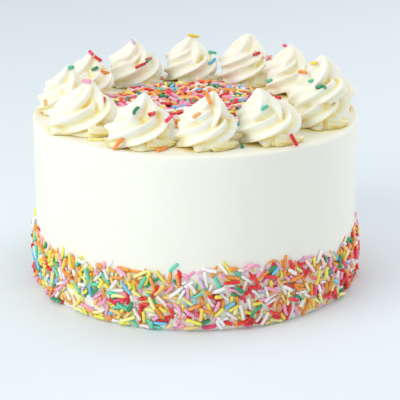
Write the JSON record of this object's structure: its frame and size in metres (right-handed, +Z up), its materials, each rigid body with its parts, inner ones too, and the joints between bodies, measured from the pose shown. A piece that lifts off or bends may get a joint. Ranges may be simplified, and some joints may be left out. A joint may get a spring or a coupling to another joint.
{
  "type": "layer cake",
  "caption": "Tall round layer cake, smooth pale frosting, a ring of piped swirls, and coloured sprinkles heaped on top and pressed round the foot.",
  "frame": {"origin": "middle of the cake's foot, on the surface it stands on", "axes": "+Z up through the middle of the cake; the front of the cake, as most often shown, faces -Y"},
  "size_m": [0.2182, 0.2186, 0.1561],
  "materials": {
    "smooth_frosting": "satin smooth buttercream, cream white",
    "piped_frosting": "soft satin piped buttercream, cream white, warmer in its grooves",
    "sprinkles": "satin sugar strands in red, orange, yellow, green, blue, pink and white"
  },
  "bodies": {
    "root": {"cake_body": "smooth_frosting", "rosette_01": "piped_frosting", "rosette_02": "piped_frosting", "rosette_03": "piped_frosting", "rosette_04": "piped_frosting", "rosette_05": "piped_frosting", "rosette_06": "piped_frosting", "rosette_07": "piped_frosting", "rosette_08": "piped_frosting", "rosette_09": "piped_frosting", "rosette_10": "piped_frosting", "rosette_11": "piped_frosting", "rosette_12": "piped_frosting", "sprinkle_heap": "sprinkles", "sprinkle_band": "sprinkles"}
  },
  "joints": []
}
